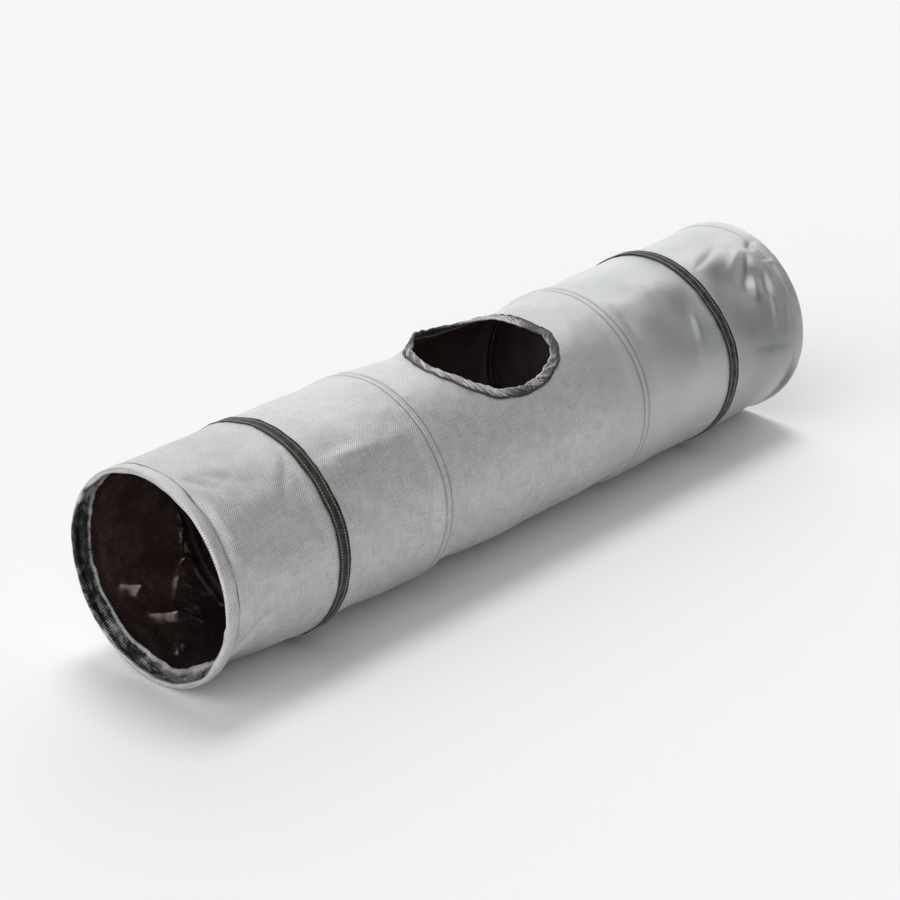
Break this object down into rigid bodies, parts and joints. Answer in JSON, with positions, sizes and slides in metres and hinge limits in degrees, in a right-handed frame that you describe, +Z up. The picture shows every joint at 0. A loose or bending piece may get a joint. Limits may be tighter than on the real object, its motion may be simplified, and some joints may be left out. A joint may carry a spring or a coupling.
{
  "type": "crinkle pet tunnel",
  "caption": "Collapsible round cloth tunnel for a small pet, with spring wire hoops, a crinkly lining, dark tapes over two seams and a bound peep hole on top.",
  "frame": {"origin": "on the floor under the middle of the tunnel's length", "axes": "+X along the tunnel from its front rim to its rear rim, +Z up, the peep hole on top and turned slightly towards -Y"},
  "size_m": [1.2, 0.3, 0.3001],
  "materials": {
    "outer_cloth": "silver-grey coated plain weave with a soft sheen",
    "crinkle_lining": "dark maroon-brown, glossy and crisply creased",
    "seam_tape": "dark grey-green matt twill tape",
    "hole_binding": "dark grey folded binding, matt and slightly puckered",
    "hoop_casing": "dark woven strip, puckered by its stitching",
    "spring_wire": "drawn spring steel wire",
    "crimp_steel": "plain steel sleeve"
  },
  "bodies": {
    "front_end": {"front_hem": "outer_cloth", "front_end_hoop": "spring_wire", "front_end_crimp": "crimp_steel", "front_end_panel": "outer_cloth", "front_end_lining": "crinkle_lining"},
    "front_tape_ring": {"front_tape": "seam_tape", "front_tape_casing": "hoop_casing", "front_tape_hoop": "spring_wire", "front_tape_crimp": "crimp_steel", "front_panel": "outer_cloth", "front_lining": "crinkle_lining"},
    "front_seam_ring": {"front_seam_casing": "hoop_casing", "front_seam_hoop": "spring_wire", "front_seam_crimp": "crimp_steel", "middle_panel": "outer_cloth", "middle_lining": "crinkle_lining", "peep_hole_binding": "hole_binding"},
    "rear_seam_ring": {"rear_seam_casing": "hoop_casing", "rear_seam_hoop": "spring_wire", "rear_seam_crimp": "crimp_steel", "rear_panel": "outer_cloth", "rear_lining": "crinkle_lining"},
    "rear_tape_ring": {"rear_tape": "seam_tape", "rear_tape_casing": "hoop_casing", "rear_tape_hoop": "spring_wire", "rear_tape_crimp": "crimp_steel", "rear_end_panel": "outer_cloth", "rear_end_lining": "crinkle_lining"},
    "rear_end": {"rear_hem": "outer_cloth", "rear_end_hoop": "spring_wire", "rear_end_crimp": "crimp_steel"}
  },
  "joints": [
    {"name": "front_end_bay_fold", "type": "slide", "parent": "front_end", "child": "front_tape_ring", "axis": [-1, 0, 0], "range_m": [0, 0.153], "deforming": ["front_end_panel", "front_end_lining"]},
    {"name": "front_bay_fold", "type": "slide", "parent": "front_tape_ring", "child": "front_seam_ring", "axis": [-1, 0, 0], "range_m": [0, 0.181], "deforming": ["front_panel", "front_lining"]},
    {"name": "middle_bay_fold", "type": "slide", "parent": "front_seam_ring", "child": "rear_seam_ring", "axis": [-1, 0, 0], "range_m": [0, 0.401], "deforming": ["middle_panel", "middle_lining", "peep_hole_binding"]},
    {"name": "rear_bay_fold", "type": "slide", "parent": "rear_seam_ring", "child": "rear_tape_ring", "axis": [-1, 0, 0], "range_m": [0, 0.181], "deforming": ["rear_panel", "rear_lining"]},
    {"name": "rear_end_bay_fold", "type": "slide", "parent": "rear_tape_ring", "child": "rear_end", "axis": [-1, 0, 0], "range_m": [0, 0.137], "deforming": ["rear_end_panel", "rear_end_lining"]}
  ]
}
